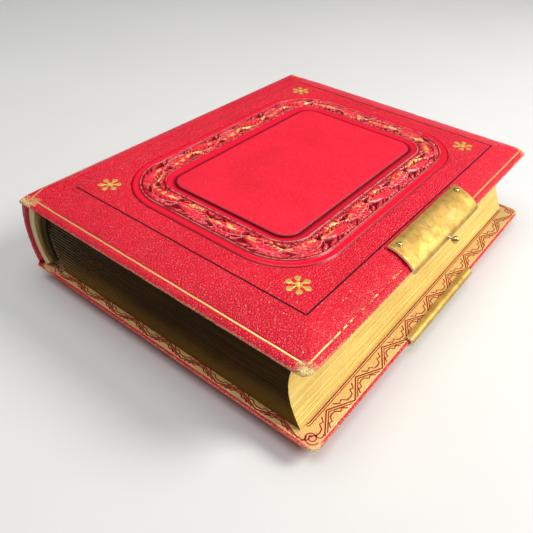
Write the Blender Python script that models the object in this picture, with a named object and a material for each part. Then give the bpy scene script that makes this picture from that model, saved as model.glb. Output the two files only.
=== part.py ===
"""Leather-bound collecting album with thick gilt-edged card leaves and a brass clasp.

Metres, +Z up.  The album lies on its back cover: +X runs from the spine to the
fore-edge, +Y along the spine.  The origin is on the flat underside of the back
panel, straight below the middle of the front panel.
"""
import math

import bpy
import bmesh
from mathutils import Matrix, Vector

MM = 0.001

# ---------------------------------------------------------------- covers
COVER_X0, COVER_X1 = -56.5, 57.5        # front cover, spine edge and fore edge
COVER_HALF_Y = 76.0
BACK_SHIFT_X = 5.0                      # the closed block leans this far at the bottom
FRONT_INNER_Z = 31.1                    # inner face of the front cover
FRONT_FLAT_Z = 36.3                     # flat field of the front cover
PANEL_RISE = 1.1                        # padded panel and relief frame above the field
FLIP_Z = FRONT_FLAT_Z + PANEL_RISE      # the back cover is the front one mirrored in this sum
SKIN = 0.9                              # leather thickness
TURN_IN = 9.0                           # leather turned in over the inner face
TURN_IN_T = 0.6
GLUE = 0.12                             # glue line left between layers

# bevel of the covers: half-extents step outwards as the face drops
FIELD = dict(x0=-45.6, x1=46.9, hy=62.1, r=0.8)
LINE = dict(x0=-54.4, x1=55.5, hy=73.5, r=2.4)
LINE_DROP = 2.9
NOSE_DROP = 4.5

# ---------------------------------------------------------------- front decoration
PANEL = dict(x0=-25.2, x1=24.8, hy=40.1, r=6.0)
PANEL_T = dict(front=0.5, back=PANEL_RISE)   # the back panel is level with its frame
FRAME_IN = 0.3                          # offsets of the relief frame from the panel edge
FRAME_OUT = 15.0

# ---------------------------------------------------------------- spine and joints
SPINE_OUTER = [(-58.45, 31.15), (-59.4, 28.4), (-60.35, 24.9), (-60.8, 20.8), (-60.6, 16.6),
               (-59.8, 12.6), (-58.5, 9.0), (-57.45, 7.2)]
SPINE_SKIN = 1.2
SPINE_TURN_IN = 2.4
SPINE_HALF_Y = 75.2
BLOCK_HALF_Y = 72.5                     # half height of the leaves
LINING_FLAT_X = -55.0                   # inner face of the spine lining
BACK_JOINT = (-57.4, 7.0)               # hinge axes (x, z), parallel to Y
FRONT_JOINT = (-58.4, 31.4)

# ---------------------------------------------------------------- leaves
LEAF_COUNT = 18
LEAF_T = 1.05
GUARD_T = 0.25
BLOCK_Z0, BLOCK_Z1 = 6.45, 30.95
LEAF_HINGE_X = -54.7

# ---------------------------------------------------------------- clasp
PLATE_HALF_Y = 23.3
PLATE_T = 0.9
PLATE_OUTER = [(48.5, 37.3), (50.6, 37.05), (52.8, 36.35), (54.9, 35.4), (56.8, 34.2),
               (58.2, 32.95), (58.8, 31.6)]
PLATE_CURL = [(58.5, 30.7), (57.6, 30.1), (56.0, 30.0)]   # the back plate's rim, over the board
RIVET_XY = (50.9, 20.2)
RIVET_HEAD_R = 1.1
RIVET_HEAD_H = dict(front=0.75, back=0.26)  # the back ones are low, to stay off the table
RIVET_SHANK_R = 0.6
KNOB_Z = 32.3
KNOB_X = 60.7
KNOB_R = 1.25
STEM_R = 0.45
STEM_END_X = 44.6
KNOB_TRAVEL = 0.7                       # the pressed knob stops short of the plate

scene_objects = list(bpy.data.objects)
for old in scene_objects:
    bpy.data.objects.remove(old, do_unlink=True)


# ---------------------------------------------------------------- helpers
def material(name, colour, roughness=0.6, metallic=0.0):
    mat = bpy.data.materials.new(name)
    mat.use_nodes = True
    bsdf = mat.node_tree.nodes.get("Principled BSDF")
    bsdf.inputs["Base Color"].default_value = (*colour, 1.0)
    bsdf.inputs["Roughness"].default_value = roughness
    bsdf.inputs["Metallic"].default_value = metallic
    return mat


def build(name, points, faces, mat):
    """One closed mesh object from millimetre points."""
    mesh = bpy.data.meshes.new(name)
    bm = bmesh.new()
    verts = [bm.verts.new((x * MM, y * MM, z * MM)) for x, y, z in points]
    for face in faces:
        bm.faces.new([verts[i] for i in face])
    bmesh.ops.recalc_face_normals(bm, faces=bm.faces)
    bm.to_mesh(mesh)
    bm.free()
    obj = bpy.data.objects.new(name, mesh)
    bpy.context.collection.objects.link(obj)
    mesh.materials.append(mat)
    return obj


def rounded_ring(x0, x1, hy, r, z, steps=4):
    """Rounded rectangle in plan at height z, counter-clockwise."""
    points = []
    for cx, cy, start in ((x1 - r, hy - r, 0), (x0 + r, hy - r, 90),
                          (x0 + r, -hy + r, 180), (x1 - r, -hy + r, 270)):
        for i in range(steps + 1):
            a = math.radians(start + 90.0 * i / steps)
            points.append((cx + r * math.cos(a), cy + r * math.sin(a), z))
    return points


def grown(rect, by, z, steps=4):
    """A rectangle dict offset outwards by a distance."""
    return rounded_ring(rect["x0"] - by, rect["x1"] + by, rect["hy"] + by,
                        max(rect["r"] + by, 0.3), z, steps)


def loft(name, rings, mat, closed=False):
    """Skin equal-length rings; a closed loft joins the last ring to the first."""
    n = len(rings[0])
    points = [p for ring in rings for p in ring]
    faces = []
    count = len(rings)
    for k in range(count if closed else count - 1):
        a, b = k * n, ((k + 1) % count) * n
        for i in range(n):
            j = (i + 1) % n
            faces.append((a + i, a + j, b + j, b + i))
    if not closed:
        faces.append(tuple(range(n)))
        faces.append(tuple(range((count - 1) * n, count * n)))
    return build(name, points, faces, mat)


def prism(name, profile, y0, y1, mat):
    """Extrude an (x, z) outline along Y."""
    rings = [[(x, y, z) for x, z in profile] for y in (y0, y1)]
    return loft(name, rings, mat)


def band(name, stations, mat):
    """Solid between an outer and an inner (x, z) line, stepped along Y.

    stations is a list of (y, outer, inner); the end faces are strips of quads.
    """
    m = len(stations[0][1])
    rings = []
    for y, outer, inner in stations:
        rings.append([(x, y, z) for x, z in outer] + [(x, y, z) for x, z in reversed(inner)])
    n = 2 * m
    points = [p for ring in rings for p in ring]
    faces = []
    for k in range(len(rings) - 1):
        for i in range(n):
            j = (i + 1) % n
            faces.append((k * n + i, k * n + j, (k + 1) * n + j, (k + 1) * n + i))
    for base in (0, (len(rings) - 1) * n):
        for i in range(m - 1):
            faces.append((base + i, base + i + 1, base + n - 2 - i, base + n - 1 - i))
    return build(name, points, faces, mat)


def lathe(name, profile, segments, placement, mat):
    """Turn an (r, h) profile about Z; both ends of the profile lie on the axis."""
    points, rows = [], []
    for r, h in profile:
        if r < 1e-6:
            rows.append([len(points)])
            points.append((0.0, 0.0, h))
        else:
            rows.append(list(range(len(points), len(points) + segments)))
            points += [(r * math.cos(2 * math.pi * i / segments),
                        r * math.sin(2 * math.pi * i / segments), h) for i in range(segments)]
    faces = []
    for a, b in zip(rows, rows[1:]):
        for i in range(segments):
            j = (i + 1) % segments
            if len(a) == 1:
                faces.append((a[0], b[i], b[j]))
            elif len(b) == 1:
                faces.append((a[i], a[j], b[0]))
            else:
                faces.append((a[i], a[j], b[j], b[i]))
    moved = [tuple(placement @ Vector(p)) for p in points]
    return build(name, moved, faces, mat)


def cylinder(radius, start, end, segments=20):
    """Temporary cutting cylinder between two millimetre points."""
    axis = Vector(end) - Vector(start)
    turn = axis.to_track_quat("Z", "Y").to_matrix().to_4x4()
    placement = Matrix.Translation(Vector(start)) @ turn
    profile = [(0, 0), (radius, 0), (radius, axis.length), (0, axis.length)]
    return lathe("cutter", profile, segments, placement, cutter_mat)


def box(x0, x1, y0, y1, z0, z1):
    return prism("cutter", [(x0, z0), (x1, z0), (x1, z1), (x0, z1)], y0, y1, cutter_mat)


def boolean(obj, tool, operation="DIFFERENCE"):
    mod = obj.modifiers.new("cut", "BOOLEAN")
    mod.operation = operation
    mod.solver = "EXACT"
    mod.object = tool
    bpy.context.view_layer.objects.active = obj
    bpy.context.view_layer.update()
    depsgraph = bpy.context.evaluated_depsgraph_get()
    mesh = bpy.data.meshes.new_from_object(obj.evaluated_get(depsgraph))
    obj.modifiers.clear()
    old = obj.data
    obj.data = mesh
    bpy.data.meshes.remove(old)
    bpy.data.objects.remove(tool, do_unlink=True)
    bm = bmesh.new()
    bm.from_mesh(obj.data)
    bmesh.ops.remove_doubles(bm, verts=bm.verts, dist=2e-6)
    bmesh.ops.recalc_face_normals(bm, faces=bm.faces)
    bm.to_mesh(obj.data)
    bm.free()
    return obj


def inset_line(line, by):
    """Shift an (x, z) line to the left of its direction of travel."""
    out = []
    for i, (x, z) in enumerate(line):
        xa, za = line[max(i - 1, 0)]
        xb, zb = line[min(i + 1, len(line) - 1)]
        dx, dz = xb - xa, zb - za
        length = math.hypot(dx, dz)
        out.append((x - dz / length * by, z + dx / length * by))
    return out


# ---------------------------------------------------------------- materials
cutter_mat = material("cutter_tmp", (1, 0, 1))
red_leather = material("red_leather", (0.62, 0.02, 0.05), 0.5)
relief_leather = material("relief_leather", (0.42, 0.01, 0.03), 0.35)
panel_leather = material("panel_leather", (0.68, 0.03, 0.07), 0.45)
grey_board = material("grey_board", (0.42, 0.38, 0.32), 0.9)
end_paper = material("end_paper", (0.86, 0.80, 0.66), 0.8)
lining_paper = material("lining_paper", (0.82, 0.77, 0.62), 0.85)
guard_gilt = material("guard_gilt", (0.50, 0.36, 0.13), 0.5, 0.4)
gilt_card = material("gilt_card", (0.74, 0.58, 0.32), 0.5)
aged_brass = material("aged_brass", (0.62, 0.47, 0.16), 0.35, 1.0)
bright_brass = material("bright_brass", (0.75, 0.60, 0.25), 0.25, 1.0)
steel = material("steel", (0.45, 0.44, 0.42), 0.35, 1.0)


def slot_material(base, node):
    """Every node carries its own copy of its material."""
    mat = base.copy()
    mat.name = node
    return mat


# ---------------------------------------------------------------- cover parts
def turned(points, side):
    """Front cover points as they are, or mirrored into the back cover."""
    if side == "front":
        return points
    return [(x + BACK_SHIFT_X, y, FLIP_Z - z) for x, y, z in points]


def cover_rings(inset):
    """Face of a cover from its field down to its nose, inset by the skin."""
    field_z, line_z = FRONT_FLAT_Z - inset, FRONT_FLAT_Z - LINE_DROP - inset
    mid = dict(x0=-50.6, x1=51.9, hy=68.3, r=1.6)
    nose = dict(x0=COVER_X0, x1=COVER_X1, hy=COVER_HALF_Y, r=3.2)
    shoulder = dict(x0=COVER_X0 + 0.5, x1=COVER_X1 - 0.5, hy=COVER_HALF_Y - 0.5, r=2.9)
    k = inset / SKIN if SKIN else 0.0
    return [grown(FIELD, -0.3 * k, field_z),
            grown(mid, -0.3 * k, FRONT_FLAT_Z - 1.2 - inset),
            grown(LINE, -0.45 * k, line_z),
            grown(shoulder, -0.8 * k, FRONT_FLAT_Z - 3.8 - 0.5 * inset),
            grown(nose, -inset, FRONT_FLAT_Z - NOSE_DROP)]


def cover_leather(side):
    nose = dict(x0=COVER_X0, x1=COVER_X1, hy=COVER_HALF_Y, r=3.2)
    opening = dict(x0=COVER_X0 + TURN_IN, x1=COVER_X1 - TURN_IN,
                   hy=COVER_HALF_Y - TURN_IN, r=0.5)
    rings = cover_rings(0.0)
    rings.append(grown(nose, -0.6, FRONT_INNER_Z))
    rings.append(grown(opening, 0.0, FRONT_INNER_Z))
    rings.append(grown(opening, 0.0, FRONT_INNER_Z + TURN_IN_T))
    rings.append(grown(nose, -SKIN - 0.05, FRONT_INNER_Z + TURN_IN_T))
    rings += list(reversed(cover_rings(SKIN)))[1:]
    name = side + "_leather"
    obj = loft(name, [turned(r, side) for r in rings], slot_material(red_leather, name))
    if side == "front":
        ax, az = FRONT_JOINT
        outline = [(-44.0, 36.28), (-50.5, 36.1), (-53.6, 35.45), (-56.0, 34.3), (-57.6, 32.9),
                   (ax + 0.12, az + 0.2), (ax + 1.2, az - 0.02), (-56.2, 31.3), (-55.9, 32.3),
                   (-53.9, 33.6), (-44.0, 35.7)]
    else:
        ax, az = BACK_JOINT
        outline = [(-39.0, 1.12), (-47.5, 1.16), (-51.5, 1.5), (-54.5, 2.9), (-56.5, 4.9),
                   (ax + 0.1, az - 0.2), (ax + 1.3, az - 0.15), (-51.2, 6.0), (-50.9, 5.0),
                   (-48.9, 3.8), (-39.0, 1.7)]
    strip = prism("strip", outline, -COVER_HALF_Y + 0.9, COVER_HALF_Y - 0.9, cutter_mat)
    reach = dict(x0=COVER_X0 - 30.0, x1=COVER_X1, r=3.0)
    levels = ((60.0, 38.0), (FIELD["hy"], FRONT_FLAT_Z), (68.3, FRONT_FLAT_Z - 1.2),
              (LINE["hy"], FRONT_FLAT_Z - LINE_DROP), (COVER_HALF_Y - 0.5, FRONT_FLAT_Z - 3.8),
              (COVER_HALF_Y, FRONT_FLAT_Z - NOSE_DROP), (COVER_HALF_Y, 25.0))
    envelope = [turned(grown(dict(reach, hy=hy), 0.0, z), side) for hy, z in levels]
    boolean(strip, loft("envelope", envelope, cutter_mat), "INTERSECT")
    return boolean(obj, strip, "UNION")


def cover_board(side):
    rings = cover_rings(SKIN + GLUE)[:-1]
    nose = dict(x0=COVER_X0, x1=COVER_X1, hy=COVER_HALF_Y, r=3.2)
    rings.append(grown(nose, -SKIN - GLUE - 0.35, FRONT_INNER_Z + TURN_IN_T + GLUE))
    name = side + "_board"
    return loft(name, [turned(r, side) for r in rings], slot_material(grey_board, name))


def cover_pastedown(side):
    opening = dict(x0=COVER_X0 + TURN_IN, x1=COVER_X1 - TURN_IN,
                   hy=COVER_HALF_Y - TURN_IN, r=0.5)
    rings = [grown(opening, -0.2, FRONT_INNER_Z + 0.05),
             grown(opening, -0.2, FRONT_INNER_Z + TURN_IN_T - 0.05)]
    name = side + "_pastedown"
    return loft(name, [turned(r, side) for r in rings], slot_material(end_paper, name))


def relief_frame(side):
    """Moulded frame: outer bead, channel, crowned scroll band, inner bead."""
    base = FRONT_FLAT_Z + 0.04
    top = FRONT_FLAT_Z + PANEL_RISE
    profile = [(FRAME_OUT, base), (FRAME_OUT, base + 0.25), (FRAME_OUT - 0.4, base + 0.45),
               (FRAME_OUT - 0.9, base + 0.3), (12.6, base + 0.3), (12.0, base + 0.55),
               (11.2, top - 0.15), (9.6, top), (6.0, top), (4.6, top - 0.12),
               (3.5, top - 0.2), (2.9, base + 0.62), (1.5, base + 0.25),
               (FRAME_IN, base + 0.1), (FRAME_IN, base)]
    rings = [turned(grown(PANEL, off, z, 6), side) for off, z in profile]
    name = side + "_relief_frame"
    return loft(name, rings, slot_material(relief_leather, name), closed=True)


def centre_panel(side):
    base = FRONT_FLAT_Z + 0.04
    top = FRONT_FLAT_Z + PANEL_T[side]
    rings = [turned(grown(PANEL, off, z, 6), side)
             for off, z in ((0.0, base), (0.0, top - 0.3), (-0.12, top - 0.1), (-0.4, top))]
    name = side + "_centre_panel"
    return loft(name, rings, slot_material(panel_leather, name))


def clasp_plate(side):
    outer = list(PLATE_OUTER) + (PLATE_CURL if side == "back" else [])
    inner = inset_line(outer, -PLATE_T)
    ends = [(-PLATE_HALF_Y, 0.35), (-PLATE_HALF_Y + 0.4, 0.0), (PLATE_HALF_Y - 0.4, 0.0),
            (PLATE_HALF_Y, 0.35)]
    stations = []
    for y, chamfer in ends:
        line = inset_line(outer, -chamfer) if chamfer else outer
        stations.append((y, line, inner))
    name = side + "_clasp_plate"
    obj = band(name, stations, slot_material(aged_brass, name))
    if side == "back":
        for v in obj.data.vertices:
            v.co.x += BACK_SHIFT_X * MM
            v.co.z = FLIP_Z * MM - v.co.z
        bm = bmesh.new()
        bm.from_mesh(obj.data)
        bmesh.ops.recalc_face_normals(bm, faces=bm.faces)
        bm.to_mesh(obj.data)
        bm.free()
    return obj


def rivet_placement(side, y):
    """Frame at the plate's outer surface, Z along the rivet, out of the plate."""
    x = RIVET_XY[0]
    z = 37.0
    tilt = math.radians(14.0)
    if side == "back":
        x, z, tilt = x + BACK_SHIFT_X, FLIP_Z - z, math.pi - tilt
    return Matrix.Translation((x, y, z)) @ Matrix.Rotation(tilt, 4, "Y")


def rivet(side, index, y):
    h, r, s = RIVET_HEAD_H[side], RIVET_HEAD_R, RIVET_SHANK_R
    profile = [(0, h), (0.45 * r, 0.93 * h), (0.8 * r, 0.75 * h), (r, 0.16), (r, 0.1),
               (s, 0.1), (s, -3.4), (0, -3.4)]
    name = "%s_rivet_%d" % (side, index)
    return lathe(name, profile, 20, rivet_placement(side, y), slot_material(bright_brass, name))


def drill_for_rivets(obj, side):
    for y in (-RIVET_XY[1], RIVET_XY[1]):
        place = rivet_placement(side, y)
        start = place @ Vector((0, 0, 1.5))
        end = place @ Vector((0, 0, -3.6))
        boolean(obj, cylinder(RIVET_SHANK_R + 0.12, tuple(start), tuple(end)))


cover_objects = {}
for side in ("back", "front"):
    parts = dict(board=cover_board(side), leather=cover_leather(side),
                 pastedown=cover_pastedown(side), frame=relief_frame(side),
                 panel=centre_panel(side), plate=clasp_plate(side))
    for part in ("board", "leather", "plate"):
        drill_for_rivets(parts[part], side)
    for index, y in ((1, -RIVET_XY[1]), (2, RIVET_XY[1])):
        rivet(side, index, y)
    cover_objects[side] = parts

# ---------------------------------------------------------------- latch in the front cover
stem_bore = STEM_R + 0.1
for part in ("board", "leather", "plate"):
    boolean(cover_objects["front"][part],
            cylinder(stem_bore, (48.0, 0, KNOB_Z), (62.0, 0, KNOB_Z)))
for part in ("board", "plate"):         # the bore is open below: a notch at the lower edge
    boolean(cover_objects["front"][part],
            box(48.0, 62.0, -stem_bore, stem_bore, FRONT_INNER_Z - 0.2, KNOB_Z))
POCKET = dict(x0=41.4, x1=49.6, hy=5.2, z0=FRONT_INNER_Z, z1=33.45)
boolean(cover_objects["front"]["board"],
        box(POCKET["x0"], POCKET["x1"], -POCKET["hy"], POCKET["hy"], POCKET["z0"], POCKET["z1"]))

along_x = Matrix.Rotation(math.radians(90), 4, "Y")
stem_profile = [(0, STEM_END_X), (STEM_R * 0.7, STEM_END_X), (STEM_R, STEM_END_X + 0.25),
                (STEM_R, KNOB_X - 0.3), (0, KNOB_X - 0.3)]
lathe("latch_stem", stem_profile, 20, Matrix.Translation((0, 0, KNOB_Z)) @ along_x,
      slot_material(steel, "latch_stem"))

ball_profile = []
for i in range(11):
    a = math.pi * i / 10
    ball_profile.append((KNOB_R * math.sin(a), -KNOB_R * math.cos(a)))
ball_profile[0] = (0, -KNOB_R)
ball_profile[-1] = (0, KNOB_R)
ball = lathe("latch_ball", ball_profile, 24, Matrix.Translation((KNOB_X, 0, KNOB_Z)) @ along_x,
             slot_material(bright_brass, "latch_ball"))
boolean(ball, cylinder(STEM_R + 0.03, (KNOB_X - 4, 0, KNOB_Z), (KNOB_X - 0.2, 0, KNOB_Z), 24))

guide = prism("latch_guide", [(46.4, 31.78), (49.4, 31.78), (49.4, 33.3), (46.4, 33.3)],
              -2.6, 2.6, slot_material(aged_brass, "latch_guide"))
boolean(guide, cylinder(STEM_R + 0.05, (45.0, 0, KNOB_Z), (51.0, 0, KNOB_Z), 24))
boolean(guide, box(45.0, 51.0, -STEM_R - 0.05, STEM_R + 0.05, FRONT_INNER_Z, KNOB_Z))

spring_rings = []
for i in range(13):
    y = -4.8 + 9.6 * i / 12
    x = 41.7 + 1.9 * math.cos(math.pi * y / 9.6)
    spring_rings.append([(x, y, 31.8), (x + 0.22, y, 31.8), (x + 0.22, y, 33.1), (x, y, 33.1)])
loft("latch_spring", spring_rings, slot_material(steel, "latch_spring"))

# ---------------------------------------------------------------- spine
outer = list(SPINE_OUTER)
thin, thick = inset_line(outer, SPINE_SKIN), inset_line(outer, SPINE_TURN_IN)
spine_stations = [(-SPINE_HALF_Y, inset_line(outer, 0.5), inset_line(outer, 1.9)),
                  (-SPINE_HALF_Y + 0.5, outer, thick),
                  (-BLOCK_HALF_Y - 0.4, outer, thick), (-BLOCK_HALF_Y - 0.39, outer, thin),
                  (BLOCK_HALF_Y + 0.39, outer, thin), (BLOCK_HALF_Y + 0.4, outer, thick),
                  (SPINE_HALF_Y - 0.5, outer, thick),
                  (SPINE_HALF_Y, inset_line(outer, 0.5), inset_line(outer, 1.9))]
band("spine_leather", spine_stations, slot_material(red_leather, "spine_leather"))

lining_outer = inset_line(outer, SPINE_SKIN + 0.15)
lining_inner = [(LINING_FLAT_X, z) for x, z in lining_outer]
band("spine_lining", [(-BLOCK_HALF_Y, lining_outer, lining_inner),
                      (BLOCK_HALF_Y, lining_outer, lining_inner)],
     slot_material(lining_paper, "spine_lining"))

BAND_FROM, BAND_SPLIT, BAND_TO = SPINE_TURN_IN + 0.15, 5.9, 10.6
for end, sign in (("head", 1), ("tail", -1)):
    y0, y1 = sign * (BLOCK_HALF_Y + 0.35), sign * (BLOCK_HALF_Y + 1.9)
    for label, a, b, base in (("band", BAND_FROM, BAND_SPLIT, lining_paper),
                              ("guard_band", BAND_SPLIT + 0.15, BAND_TO, guard_gilt)):
        name = end + label if label == "band" else end + "_" + label
        far, near = inset_line(outer, a), inset_line(outer, b)
        far = [(x, min(max(z, 7.5), 30.7)) for x, z in far]
        near = [(x, min(max(z, 7.0), 30.7)) for x, z in near]
        rounded = [(x + 0.25, z) for x, z in far], [(x - 0.25, z) for x, z in near]
        stations = [(y0, far, near), (y1 - sign * 0.4, far, near), (y1, rounded[0], rounded[1])]
        band(name, stations, slot_material(base, name))

# ---------------------------------------------------------------- leaves
pitch = (BLOCK_Z1 - BLOCK_Z0) / LEAF_COUNT


def leaf_outline(z):
    """Card with a rounded fore edge, on a thin guard running back to its hinge."""
    x_in = -49.7 + (z - 21.5) ** 2 / 60.0
    x_out = 50.1 + (z - 22.0) ** 2 / 45.4
    half, guard = LEAF_T / 2, GUARD_T / 2
    edge = [(x_out - 0.45, -half), (x_out - 0.12, -0.6 * half), (x_out, 0.0),
            (x_out - 0.12, 0.6 * half), (x_out - 0.45, half)]
    back = [(x_in + 0.25, half), (x_in, 0.55 * half), (x_in, guard), (LEAF_HINGE_X, guard),
            (LEAF_HINGE_X, -guard), (x_in, -guard), (x_in, -0.55 * half), (x_in + 0.25, -half)]
    return [(x, z + dz) for x, dz in edge + back]


for k in range(LEAF_COUNT):
    z = BLOCK_Z0 + pitch * (k + 0.5)
    name = "leaf_%02d" % (k + 1)
    prism(name, leaf_outline(z), -BLOCK_HALF_Y, BLOCK_HALF_Y, slot_material(gilt_card, name))

for base in (cutter_mat, red_leather, relief_leather, panel_leather, grey_board, end_paper,
             lining_paper, guard_gilt, gilt_card, aged_brass, bright_brass, steel):
    if base.users == 0:
        bpy.data.materials.remove(base)
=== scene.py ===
"""Looks for the leather collecting album: tooled morocco covers, gilt leaves and a brass clasp.

Lengths are millimetres in the part's own frame unless a name says otherwise, and become metres
when a mesh is made.  The back cover is the front cover turned over.
"""
import math

import bpy
import bmesh
import numpy as np
from mathutils import Matrix, Vector


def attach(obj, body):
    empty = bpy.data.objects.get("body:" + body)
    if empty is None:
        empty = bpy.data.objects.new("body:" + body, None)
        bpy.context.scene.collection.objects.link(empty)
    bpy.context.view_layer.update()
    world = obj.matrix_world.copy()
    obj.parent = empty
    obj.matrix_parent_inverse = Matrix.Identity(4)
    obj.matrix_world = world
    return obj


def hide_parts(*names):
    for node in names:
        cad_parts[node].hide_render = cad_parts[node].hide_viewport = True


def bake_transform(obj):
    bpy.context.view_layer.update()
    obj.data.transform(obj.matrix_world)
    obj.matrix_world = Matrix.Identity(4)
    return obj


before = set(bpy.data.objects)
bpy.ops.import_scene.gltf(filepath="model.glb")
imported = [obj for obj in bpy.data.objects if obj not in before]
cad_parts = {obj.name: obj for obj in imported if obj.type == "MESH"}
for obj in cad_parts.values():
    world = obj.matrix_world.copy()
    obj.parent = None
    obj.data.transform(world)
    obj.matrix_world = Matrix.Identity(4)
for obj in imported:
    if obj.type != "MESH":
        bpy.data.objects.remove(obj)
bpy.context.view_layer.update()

rng = np.random.default_rng(11)
MM = 0.001
FAR = 99.0  # "nowhere near a tooled line"

# ---- sizes shared with the CAD; a plan rectangle is (x0, x1, half height, corner radius)
BACK_SHIFT_X, FLIP_Z = 5.0, 37.4
FLAT_Z, INNER_Z = 36.3, 31.1
HALF_Y = 76.0
FIELD = (-45.6, 46.9, 62.1, 0.8)  # bounded by the dark rule
MID = (-50.6, 51.9, 68.3, 1.6)  # between the two bevels
LINE = (-54.4, 55.5, 73.5, 2.4)  # below the gold line
FILLET = (*LINE[:3], 0.5)  # the gold line itself keeps sharp corners
SHOULDER = (-56.0, 57.0, 75.5, 2.9)
NOSE = (-56.5, 57.5, 76.0, 3.2)  # outermost edge of a cover
INNER_EDGE = (-55.75, 56.75, 75.25, 2.5)  # where the turned-in leather becomes flat
OPENING = (-47.5, 48.5, 67.0, 0.5)  # what the turn-ins leave for the end paper
PANEL = (-25.2, 24.8, 40.1, 6.0)
PANEL_TOP = dict(front=0.5, back=1.1)  # centre panel above the field
FRAME_REACH = 14.95  # width of the moulded frame round the panel
BEVEL = [(0.0, 36.3), (62.1, 36.3), (68.3, 35.1), (73.5, 33.4), (75.5, 32.5), (76.0, 31.8)]
ROLL = dict(front=[(-44, 36.3), (-50.5, 36.1), (-53.6, 35.45), (-56.0, 34.3), (-57.6, 32.9),
                   (-58.28, 31.6)],
            back=[(-44, 36.3), (-52.5, 36.2), (-56.5, 35.9), (-59.5, 34.5), (-61.5, 32.5),
                  (-62.3, 30.6)])
# spine-side x of the shoulder, the nose and the lower edge, which run on into the joint
EDGE_X0 = dict(front=(-57.2, -58.15, -57.0), back=(-60.9, -62.1, -61.0))
SPINE_OUTER = [(-58.45, 31.15), (-59.4, 28.4), (-60.35, 24.9), (-60.8, 20.8), (-60.6, 16.6),
               (-59.8, 12.6), (-58.5, 9.0), (-57.45, 7.2)]
SPINE_RUN = dict(front=SPINE_OUTER[:3], back=[(-62.45, 30.2), (-63.5, 28.4), (-64.8, 24.8)])
SPINE_HALF_Y, BLOCK_HALF_Y = 75.2, 72.5
PLATE_OUTER = [(48.5, 37.3), (50.6, 37.05), (52.8, 36.35), (54.9, 35.4), (56.8, 34.2),
               (58.2, 32.95), (58.8, 31.6)]
PLATE_CURL = [(58.5, 30.7), (57.6, 30.1), (56.0, 30.0)]
PLATE_T, PLATE_HALF_Y = 0.9, 23.3
RIVET_X, RIVET_Y, RIVET_Z, RIVET_TILT = 50.9, 20.2, 37.0, 14.0
RIVET_R, RIVET_H = 1.1, dict(front=0.75, back=0.26)
KNOB_X, KNOB_Z, KNOB_R, STEM_R, COLLAR_R = 60.7, 32.3, 1.25, 0.45, 0.58
LEAVES, BLOCK_Z0, BLOCK_Z1, LEAF_HINGE_X = 18, 6.45, 30.95, -54.7
CARD_HALF, GUARD_HALF = 0.525, 0.12  # half thickness at a leaf's root and in its guard

# ---- colours, linear
RED, RED_DARK, RED_PALE = (1.0, 0.006, 0.038), (0.84, 0.003, 0.026), (0.95, 0.22, 0.22)
# the third colour on the next line is painted shade, laid into creases, the frame's and panel's
# rims and the spine's ends
RUBBED, STAIN, PAINTED_SHADE = (0.92, 0.47, 0.24), (0.16, 0.03, 0.01), (0.20, 0.001, 0.010)
FIBRE = ((0.94, 0.64, 0.22), (0.86, 0.60, 0.32))
INK, GOLD_LEAF = (0.045, 0.008, 0.012), (0.86, 0.60, 0.20)


# ---- shader writing
class Shader:
    """Writes one node material as nested calls; sockets and plain values both go in.
    p is each point's place, in millimetres, on the album at rest."""

    def __init__(self, name):
        self.name = name
        self.mat = bpy.data.materials.new(name)
        self.mat.use_nodes = True
        self.tree = self.mat.node_tree
        self.bsdf = self.tree.nodes["Principled BSDF"]
        self.p = self.attr("rest", "Vector")

    def put(self, socket, value):
        if isinstance(value, bpy.types.NodeSocket):
            self.tree.links.new(value, socket)
        else:
            socket.default_value = (*value, 1.0) if socket.type == "RGBA" else value

    def node(self, kind, values, out=0, **settings):
        n = self.tree.nodes.new(kind)
        for key, value in settings.items():
            setattr(n, key, value)
        for key, value in values.items():
            self.put(n.inputs[key], value)
        return n.outputs[out]

    def attr(self, name, out="Fac"):
        return self.node("ShaderNodeAttribute", {}, out, attribute_name=name)

    def math(self, op, a, b):
        return self.node("ShaderNodeMath", {0: a, 1: b}, operation=op)

    def times(self, a, b):
        return self.math("MULTIPLY", a, b)

    def plus(self, a, b):
        return self.math("ADD", a, b)

    def most(self, a, b):
        return self.math("MAXIMUM", a, b)

    def vector(self, op, a, b):
        return self.node("ShaderNodeVectorMath", {0: a, 1: b}, operation=op)

    def scaled(self, *factors, at=None):
        return self.vector("MULTIPLY", at or self.p, factors)

    def moved(self, *by):
        return self.vector("ADD", self.p, by)

    def warped(self, at, scale, amount):
        """Coordinates pushed about by a slow noise."""
        push = self.vector("SUBTRACT", self.noise(scale, 2.0, at=at, out=1), (0.5, 0.5, 0.5))
        return self.vector("ADD", at, self.scaled(amount, amount, amount, at=push))

    def noise(self, scale, detail=3.0, rough=0.55, at=None, out=0):
        return self.node("ShaderNodeTexNoise", {"Vector": at or self.p, "Scale": scale,
                                                "Detail": detail, "Roughness": rough}, out)

    def cells(self, scale, feature="DISTANCE_TO_EDGE", at=None):
        return self.node("ShaderNodeTexVoronoi", {"Vector": at or self.p, "Scale": scale},
                         feature=feature)

    def step(self, value, lo, hi):
        """0 at lo, 1 at hi and beyond, smooth between; lo may be the larger."""
        return self.node("ShaderNodeMapRange", {"Value": value, "From Min": lo, "From Max": hi},
                         interpolation_type="SMOOTHSTEP")

    def lerp(self, factor, a, b):
        return self.node("ShaderNodeMapRange", {"Value": factor, "To Min": a, "To Max": b})

    def mix(self, factor, a, b):
        return self.node("ShaderNodeMix", {0: factor, 6: a, 7: b}, 2, data_type="RGBA")

    def bump(self, height, depth):
        return self.node("ShaderNodeBump", {"Height": height, "Distance": depth * MM,
                                            "Strength": 1.0})

    def done(self, **values):
        for key, value in values.items():
            self.put(self.bsdf.inputs[key.replace("_", " ")], value)
        M[self.name] = self.mat


# ---- materials
M = {}


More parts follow.
